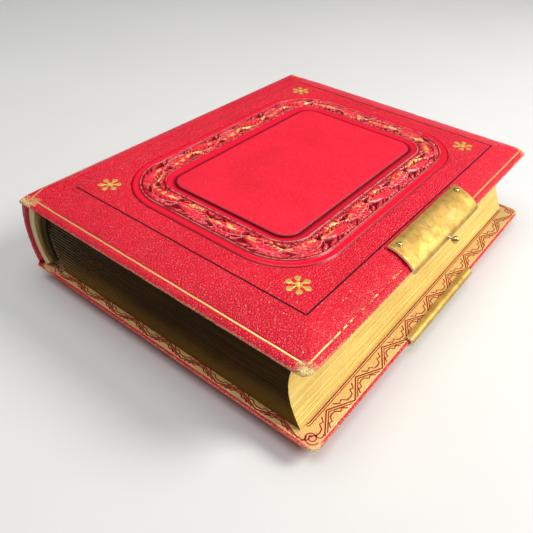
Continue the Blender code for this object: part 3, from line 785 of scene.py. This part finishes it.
def relief_frame(side):
    """Moulded leather frame round the panel, its foliage carried round every corner."""
    step = 0.2
    offs = np.concatenate([[FRAME_REACH, 14.8, 14.6, 14.45, 14.3, 14.1, 13.8, 13.4, 13.0, 12.6,
                            12.35, 12.2, 12.05, 11.9, 11.7, 11.5, 11.35],
                           np.arange(BAND_HI, BAND_LO - 0.1, -step),
                           [3.78, 3.65, 3.5, 3.35, 3.2, 3.0, 2.6, 2.1, 1.5, 1.0, 0.6, 0.3, 0.05]])
    count = (250, 400, 78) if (side == "front") else (150, 240, 46)
    mid = ring(grown(PANEL, WAVE_MID), *count)
    run = run_along(mid)
    total = run[-1] + np.linalg.norm(mid[0] - mid[-1])
    run = run * round(total / TILE) * TILE / total
    along = np.broadcast_to(run % TILE, (len(offs), len(run)))
    across = np.broadcast_to(offs[:, None], along.shape)
    leaf, stem = foliage(along, across)
    band = (across < BAND_HI) & (across > BAND_LO)
    leaf, stem = leaf * band, stem * band
    base = np.interp(across, *zip(*MOULDING[::-1]))
    height = np.minimum(base + leaf * 0.95, 1.08)
    xy = np.array([ring(grown(PANEL, o), *count) for o in offs])
    height = height + 0.03 * waves(xy[..., 0], xy[..., 1], 21, 1.4) * band
    top = np.concatenate([xy, (FLAT_Z + np.minimum(height, 1.09))[..., None]], -1)
    foot = np.stack([level(xy[k], FLAT_Z - 0.45) for k in (-1, 0)])
    grid = np.concatenate([top, foot])
    nu, nv = grid.shape[:2]
    attrs = {key: np.concatenate([value, np.zeros((2, nv))]).ravel()
             for key, value in relief_attrs(along, across, band, leaf, stem).items()}
    on_cover(side, "_frame_relief", grid.reshape(-1, 3),
             grid_faces(nu, nv, wrap_u=True, wrap_v=True), "relief_leather", ["_relief_frame"],
             attrs=attrs, sharp=75)


def centre_panel(side):
    """Padded panel: a soft rolled edge and a field that is nearly flat."""
    top, count = FLAT_Z + PANEL_TOP[side], (44, 60, 10)
    edge = [(0.0, -0.9), (0.0, -0.42), (-0.08, -0.22), (-0.25, -0.10), (-0.55, -0.03), (-1.0, 0.0)]
    rows = [level(ring(grown(PANEL, off), *count), top + dz) for off, dz in edge]
    centre = np.array([(PANEL[0] + PANEL[1]) / 2, 0.0])
    for t in (0.93, 0.84, 0.72, 0.58, 0.42, 0.26, 0.12, 0.03):
        xy = centre + (rows[5][:, :2] - centre) * t
        sink = 0.04 * waves(xy[:, 0], xy[:, 1], 40, 0.16) - 0.04 if side == "front" else 0.0
        rows.append(level(xy, top + sink))
    points, faces = closed(rows)
    out = sdf(points[:, 0], points[:, 1], PANEL)
    # the panel's last attribute darkens its rim: painted shade where it meets the frame
    on_cover(side, "_panel_leather", points, faces, "panel_leather", ["_centre_panel"], sharp=60,
             attrs=dict(worn=0.30 * bell(out + 0.9, 0.6), scuff_and_glint=0.42, painted_shade=0.9 * bell(out, 0.35)))


def petal(cx, cy, angle):
    """One raised petal, narrow at its root."""
    u, v = np.linspace(0, 1, 9)[:, None], np.linspace(-1, 1, 7)[None, :]
    r = 0.85 + 3.05 * u + 0 * v
    w = (0.15 + 0.88 * np.sin(np.pi * np.clip(u, 0.02, 0.98) ** 2.0) ** 1.1) * v
    h = 0.02 + 0.16 * (1 - v ** 2) * np.sin(np.pi * np.clip(u, 0.05, 0.95)) ** 0.5
    c, s = math.cos(angle), math.sin(angle)
    grid = np.stack([cx + r * c - w * s, cy + r * s + w * c, FLAT_Z + h], -1)
    return grid.reshape(-1, 3), grid_faces(9, 7)


def rosettes(side):
    """Gilt six-petalled flowers stamped in the corners of the field."""
    disc = [(0, 0.22), (0.38, 0.22), (0.55, 0.10), (0.72, 0.20), (1.0, 0.17), (1.1, 0.0), (0, 0.0)]
    parts = []
    for cx, cy, start in ((-38.5, -54, 45), (-38.5, 54, 10), (38.5, -54, 10), (38.5, 54, 45)):
        parts += [petal(cx, cy, math.radians(start + 60 * k)) for k in range(6)]
        parts.append(lathe(disc, 20, Matrix.Translation((cx, cy, FLAT_Z))))
    on_cover(side, "_rosettes", *merged(parts), "gold_foil", slot="gilt_card")


# ---- inside of the covers
# half of a wavy pointed arch: share of the base, share of the height
BRACKET = [(0.70, 0.06), (0.52, 0.40), (0.34, 0.30), (0.20, 0.64), (0.0, 0.70)]
BORDER_CLEAR, BORDER_PERIOD = 5.5, 15.0  # clear of the corners; repeat of the saw-tooth


def ribbon(path, half):
    """Flat strip along an (a, c) path."""
    edges = np.stack([left_of(path, -half), left_of(path, half)], 1)
    return edges.reshape(-1, 2), grid_faces(len(path), 2)


def bracket(left, middle, right, base, height):
    """Wavy pointed arch standing on a base line between two feet."""
    rising = [(middle - t * (middle - left), base + h * height) for t, h in BRACKET]
    return rising + [(middle + t * (right - middle), base + h * height)
                     for t, h in BRACKET[-2::-1]]


def border_motif(period, depth):
    """Strokes of one repeat, a along the edge and c in from it, each with its half width."""
    peak, foot, lo = 0.47 * period, 1.35, 0.35
    slope = (depth - lo) / peak
    end, top = period - foot * (period - peak) / peak, depth - slope * foot
    saw, second = [(0, lo), (peak, depth), (period, lo)], [(foot, lo), (peak, top), (end, lo)]
    outer = bracket(foot, peak, end, lo, top - lo)
    inner = bracket(-0.9 * (period - peak), 0.0, 0.9 * peak, depth, -0.9 * (depth - lo))
    return [(saw, 0.24), (second, 0.18), (outer, 0.20), (inner, 0.20)]


def border_strokes(length, depth):
    """All strokes along one edge: saw-tooth repeats, two rules, and the corner's scroll."""
    count = round((length - 2 * BORDER_CLEAR) / BORDER_PERIOD)
    period = (length - 2 * BORDER_CLEAR) / count
    strokes = [(np.array(path) + (BORDER_CLEAR + k * period, 0), half)
               for k in range(count) for path, half in border_motif(period, depth)]
    for c, half in ((5.3, 0.12), (5.95, 0.19)):
        strokes.append((np.stack([np.linspace(c, length - c, 30), np.full(30, c)], -1), half))
    coil = np.linspace(0.0, 1.75 * np.pi * 2, 40)
    scroll = np.stack([np.cos(coil), np.sin(coil)], -1) * (0.35 + 0.17 * coil)[:, None] + 2.7
    return strokes + [(scroll, 0.17), (arc(4.9, 1.6, 1.0, 120, 330), 0.16),
                      (arc(1.6, 4.9, 1.0, -240, -30), 0.16)]


def inner_border(side):
    """Red line work over the gilded turn-in: saw-tooth double lines, hooks and two rules."""
    x0, x1, hy, _ = INNER_EDGE
    across, up = x1 - x0, 2 * hy
    parts = []
    for origin, u, v, length, depth in (((x0, -hy), (1, 0), (0, 1), across, 3.0),
                                        ((x1, -hy), (0, 1), (-1, 0), up, 4.75),
                                        ((x1, hy), (-1, 0), (0, -1), across, 3.0)):
        for path, half in border_strokes(length, depth):
            p, f = ribbon(path, half)
            parts.append((level(np.array(origin) + p @ np.array([u, v]), INNER_Z - 0.03), f))
    on_cover(side, "_border_lines", *merged(parts), "red_tooling", slot="red_leather")


def pastedown(side):
    """Sheet that fills the opening and laps the turn-ins' edge."""
    steps = ((-0.2, 31.62), (-0.2, 31.2), (-0.28, INNER_Z + 0.07), (-0.6, INNER_Z + 0.05))
    points, faces = closed([level(ring(grown(OPENING, by), 30, 40, 3), z) for by, z in steps])
    on_cover(side, "_endpaper", points, faces, "end_paper", ["_pastedown"])


# ---- brass
def plate_outline(centre, ease):
    """The bent strip's section, drawn in by ease and rounded at both tips."""
    h, tip = PLATE_T / 2 - ease, 0.12
    along = heading(centre)
    body = centre.copy()
    body[0] += along[0] * (ease + tip)
    body[-1] -= along[-1] * (ease + tip)
    up, down = left_of(body, h), left_of(body, -h)
    caps = [body[k] + way * along[k] * tip + (edge[k] - body[k]) * 0.6
            for k, way, edge in ((-1, 1, up), (-1, 1, down), (0, -1, down), (0, -1, up))]
    return np.vstack([up, caps[:2], down[::-1], caps[2:]])


def clasp_plate(side):
    """Bent strip with eased edges and ends; its cut ends take a paler brass colour."""
    run = PLATE_OUTER + (PLATE_CURL if side == "back" else [])
    outer = smooth_line(run, 40 if side == "front" else 56)
    centre = left_of(outer, -PLATE_T / 2)
    ease = [0.16, 0.05, 0.0]
    ends = [PLATE_HALF_Y, PLATE_HALF_Y - 0.05, PLATE_HALF_Y - 0.18]
    body = list(np.linspace(-22.6, 22.6, 18))
    outlines = [plate_outline(centre, e) for e in ease + [0.0] * len(body) + ease[::-1]]
    points, faces = sweep(outlines, [-e for e in ends] + body + ends[::-1])
    points[:, 2] += 0.035 * waves(points[:, 0], points[:, 1], 61, 0.5)
    at_end = np.abs(points[:, 1]) > PLATE_HALF_Y - 0.06
    on_cover(side, "_clasp_strip", points, faces, "aged_brass bare_brass_edge", ["_clasp_plate"],
             sharp=32, slots=[int(at_end[f].all()) for f in faces])


def rivets(side):
    """Domed heads, each on its own raised seat ring."""
    r, h = RIVET_R, RIVET_H[side]
    dome = [(0, h), (0.25 * r, 0.98 * h), (0.5 * r, 0.86 * h), (0.68 * r, 0.62 * h),
            (0.76 * r, 0.3 * h)]
    seat = [(0.78 * r, 0.06), (0.84 * r, 0.05), (0.88 * r, 0.12), (0.95 * r, 0.13), (r, 0.06),
            (r, -0.4), (0, -0.4)]
    tilt = Matrix.Rotation(math.radians(RIVET_TILT), 4, "Y")
    for k, y in ((1, -RIVET_Y), (2, RIVET_Y)):
        head = lathe(dome + seat, 36, Matrix.Translation((RIVET_X, y, RIVET_Z)) @ tilt)
        on_cover(side, "_rivet_head_%d" % k, *head, "bright_brass", ["_rivet_%d" % k])


def knob():
    """Turned ball with a neck and a flat witness mark, on its plain steel stem."""
    along_x = Matrix.Rotation(math.radians(90), 4, "Y")
    sphere = [(KNOB_R * math.sin(t), KNOB_R * math.cos(t)) for t in np.linspace(0.0, math.pi, 26)]
    flat = [(0, KNOB_R * 0.97), (0.28, KNOB_R * 0.965)]
    neck = [(0.60, -1.05), (0.50, -1.10), (0.50, -1.18), (0, -1.18)]
    ball = lathe(flat + sphere[3:22] + neck, 48, Matrix.Translation((KNOB_X, 0, KNOB_Z)) @ along_x)
    make("latch_knob_ball", *ball, "bright_brass", "latch_knob", ["latch_ball"], sharp=30)
    inside_ball, tail = KNOB_X - 0.5, 44.6
    rod = [(0, inside_ball), (STEM_R, inside_ball), (STEM_R, 58.95), (COLLAR_R, 58.9),
           (COLLAR_R, 58.5), (STEM_R, 58.45), (STEM_R, tail + 0.3), (0.3, tail), (0, tail)]
    stem = lathe(rod, 32, Matrix.Translation((0, 0, KNOB_Z)) @ along_x)
    make("latch_knob_stem", *stem, "steel", "latch_knob", ["latch_stem"], sharp=30)


# ---- spine and its linings
def spine_leather():
    """Rounded leather spine with turned-in ends and four pairs of faint gold lines."""
    outer = smooth_line(SPINE_OUTER, 40)
    marks = [SPINE_HALF_Y, 75.05, 74.8, 74.4, 73.9, 73.2, 72.95, 72.85, 71.9, 71.6, 71.2, 70.9,
             70.4, 69.0, 60, 50, 40, 30, 20, 10, 4]
    ys = [-m for m in marks] + marks[::-1]
    outlines = []
    for y in ys:
        round_off = 0.75 * max(0.0, (abs(y) - 74.2) / 1.0) ** 2
        thick = 2.4 if abs(y) > 72.9 else 1.2
        o = left_of(outer, round_off)
        o[:, 0] += 0.04 * waves(o[:, 1], np.full(len(o), y), 71, 0.6)
        outlines.append(np.vstack([o, left_of(outer, thick - 0.5 * round_off)[::-1]]))
    points, faces = sweep(outlines, ys, folded=True)
    x, y, z = points[:, 0], np.abs(points[:, 1]), points[:, 2]
    line = np.minimum.reduce([np.abs(y - c) for c in (71.0, 69.6, 36.4, 35.0)]) * 1.5
    corner = np.hypot(SPINE_HALF_Y - y, np.minimum(32.0 - z, z - 6.6) * 0.7)
    worn = np.maximum(0.40 * bell(SPINE_HALF_Y - y, 0.6), 0.95 * bell(corner, 1.1))
    # the last attribute darkens the spine's turned-in ends: painted shade
    make("spine_skin", points, faces, "red_leather", "spine", ["spine_leather"], sharp=60,
         attrs=dict(line=np.where(x > -58.0, FAR, line), rule=FAR, gilt=0.56, ruled=0.0,
                    worn=np.maximum(worn, 0.10), scuff_and_glint=0.4, painted_shade=0.45 * (y > 74.9)))


def band_strip(outer, sign, a, b, proud):
    """One strip of an end band, between depths a and b in from the spine's outer face."""
    root, face = sign * (BLOCK_HALF_Y + 0.35), sign * (BLOCK_HALF_Y + proud)
    rows = []
    for ease in (0.0, 0.0, 0.10, 0.32):
        line = np.vstack([left_of(outer, a + ease), left_of(outer, b - ease)[::-1]])
        line[:, 1] = np.clip(line[:, 1], 6.4, 30.8)
        rows.append(line)
    return sweep(rows, (root, face - sign * 0.5, face - sign * 0.12, face), folded=True)


def spine_bands():
    """Lining behind the leaves, and two stepped bands at each end of the spine."""
    outer = smooth_line(SPINE_OUTER + [(-56.3, 5.4)], 34)
    far = left_of(outer, 1.35)
    far[:, 1] = np.clip(far[:, 1], 7.0, 31.0)
    near = np.stack([np.full(len(far), -55.0), far[:, 1]], -1)
    ys = np.linspace(-BLOCK_HALF_Y, BLOCK_HALF_Y, 12)
    lining = sweep([np.vstack([far, near[::-1]])] * len(ys), ys)
    make("spine_paper", *lining, "lining_paper", "spine", ["spine_lining"])
    # each strip: its two depths, how far it stands proud of the block, and how much painted shade
    # it takes
    bands = (("band", "lining_paper", [(2.55, 5.5, 1.9, 0.0)]),
             ("_guard_band", "guard_gilt", [(5.65, 7.7, 1.75, 0.0), (7.75, 10.6, 1.1, 1.0)]))
    for end, sign in (("head", 1), ("tail", -1)):
        for label, mat, strips in bands:
            parts = [band_strip(outer, sign, *strip[:3]) for strip in strips]
            shade = [strip[3] for strip, part in zip(strips, parts) for _ in part[0]]
            make(end + label + "_cord", *merged(parts), mat, "spine", [end + label], sharp=45,
                 attrs=dict(shade=np.array(shade)))


# ---- leaves
def fore_x(z):
    """The hollow curve the gilded fore edge was cut to."""
    return 50.1 + (z - 22.0) ** 2 / 45.4


def root_x(z):
    """Where a leaf's card begins; its guard runs on to the spine."""
    return -49.7 + (z - 21.5) ** 2 / 60.0


def leaf_outline(z, thick, jut, ease):
    """Section of one leaf: card thickening to its gilded edge, and its thin guard."""
    root = root_x(z)
    half = CARD_HALF + (thick - CARD_HALF) * np.linspace(0, 1, 7) ** 0.5 - ease
    edge = [(fore_x(z + share * half[-1]) + jut - ease - back, z + share * half[-1])
            for share, back in ((0.93, 0.03), (0.5, 0.0), (-0.5, 0.0), (-0.93, 0.03))]
    top = np.stack([np.linspace(root + 0.35, edge[0][0] - 0.1, 7), z + half], -1)
    low = np.stack([np.linspace(root + 0.35, edge[-1][0] - 0.1, 7), z - half], -1)[::-1]
    x, g = root + ease, GUARD_HALF - min(ease, 0.06)
    guard = [(x + 0.1, z - 0.4), (x, z - g), (LEAF_HINGE_X, z - g), (LEAF_HINGE_X, z + g),
             (x, z + g), (x + 0.1, z + 0.4)]
    return np.vstack([top, edge, low, guard])


def leaf_slot(corners, z, count):
    """Material of one face: 0 card, 1 fore edge, 2 head and tail."""
    a, b, c, d = corners
    n = np.cross(c - a, d - b if count == 4 else b - a)
    n = np.abs(n) / (np.linalg.norm(n) + 1e-12)
    x = corners[:, 0]
    at_end = np.abs(corners[:, 1]).min() > BLOCK_HALF_Y - 0.3 and (n[0] < 0.5 or x.max() < 0)
    if count > 4 or n[1] > 0.3 or at_end:
        return 2
    return 0 if n[2] > 0.8 and x.min() < fore_x(z) - 2.0 else 1


def leaves():
    """The card leaves, each on its own body, their fore edges cut to one hollow."""
    marks = np.concatenate([[BLOCK_HALF_Y, BLOCK_HALF_Y - 0.05, BLOCK_HALF_Y - 0.14],
                            np.linspace(BLOCK_HALF_Y - 2, 0.5, 14)])
    ys = np.concatenate([-marks, marks[::-1]])
    eases = [0.05, 0.02] + [0.0] * (len(ys) - 4) + [0.02, 0.05]
    for k in range(LEAVES):
        z = BLOCK_Z0 + (BLOCK_Z1 - BLOCK_Z0) / LEAVES * (k + 0.5)
        jut, thick = rng.uniform(-0.07, 0.07), 0.665 + rng.uniform(-0.008, 0.008)
        wobble = 0.05 * waves(ys, np.full(len(ys), k * 3.7), 90 + k, 0.25)
        points, faces = sweep([leaf_outline(z, thick, jut + w, e) for w, e in zip(wobble, eases)],
                              ys)
        node = "leaf_%02d" % (k + 1)
        make("leaf_card_%02d" % (k + 1), points, faces, "card_face gilt_fore_edge gilt_end_edge",
             node, [node], "gilt_card", sharp=35,
             slots=[leaf_slot(points[f[:4]], z, len(f)) for f in faces])


# ---- build everything
for side in ("back", "front"):
    cover_leather(side)
    joint_leather(side)
    relief_frame(side)
    centre_panel(side)
    rosettes(side)
    inner_border(side)
    pastedown(side)
    clasp_plate(side)
    rivets(side)
knob()
spine_leather()
spine_bands()
leaves()

for node, mat in (("latch_guide", "aged_brass"), ("latch_spring", "steel")):
    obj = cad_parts[node]
    obj.data.materials.clear()
    obj.data.materials.append(M[mat])


# ---- stage, light, camera: metres from here on
def floor(size):
    s = Shader("floor")
    s.p = s.scaled(1 / MM, 1 / MM, 1 / MM, at=s.node("ShaderNodeTexCoord", {}, 3))
    s.done(Base_Color=s.mix(s.noise(0.01, 4.0), (0.66, 0.66, 0.65), (0.72, 0.72, 0.71)),
           Roughness=0.75, Normal=s.bump(s.noise(1.5), 0.02))
    mesh = bpy.data.meshes.new("floor")
    mesh.from_pydata([(-size, -size, 0), (size, -size, 0), (size, size, 0), (-size, size, 0)],
                     [], [(0, 1, 2, 3)])
    mesh.materials.append(s.mat)
    obj = linked("floor", mesh)
    obj.location.z = -0.0002


def area_light(name, place, size, watts, colour=(1.0, 1.0, 1.0)):
    """Round soft light aimed at the album's middle."""
    data = bpy.data.lights.new(name, "AREA")
    data.shape, data.size, data.energy, data.color = "DISK", size, watts, colour
    obj = linked(name, data)
    obj.location = place
    aim = Vector((0, 0, 0.02)) - Vector(place)
    obj.rotation_euler = aim.to_track_quat("-Z", "Y").to_euler()


floor(1.6)
area_light("key", (0.42, 0.30, 0.46), 0.30, 4.5, (1.0, 0.97, 0.92))
area_light("top", (-0.05, -0.12, 0.75), 0.7, 4.0)
area_light("fill", (-0.5, -0.45, 0.40), 0.6, 0.3, (0.93, 0.96, 1.0))

view = bpy.data.cameras.new("camera")
view.lens, view.sensor_width = 39.16, 36.0
view.clip_start, view.clip_end = 0.005, 10.0
camera = linked("camera", view)
camera.location = (0.10175, -0.15426, 0.13823)
camera.rotation_euler = [math.radians(angle) for angle in (50.853549, -2.280525, 38.360385)]
bpy.context.scene.camera = camera

world = bpy.data.worlds.new("studio")
world.use_nodes = True
sky = world.node_tree.nodes["Background"].inputs
sky["Color"].default_value = (0.9, 0.93, 1.0, 1.0)
sky["Strength"].default_value = 0.13
bpy.context.scene.world = world
bpy.context.scene.view_settings.view_transform = "Standard"
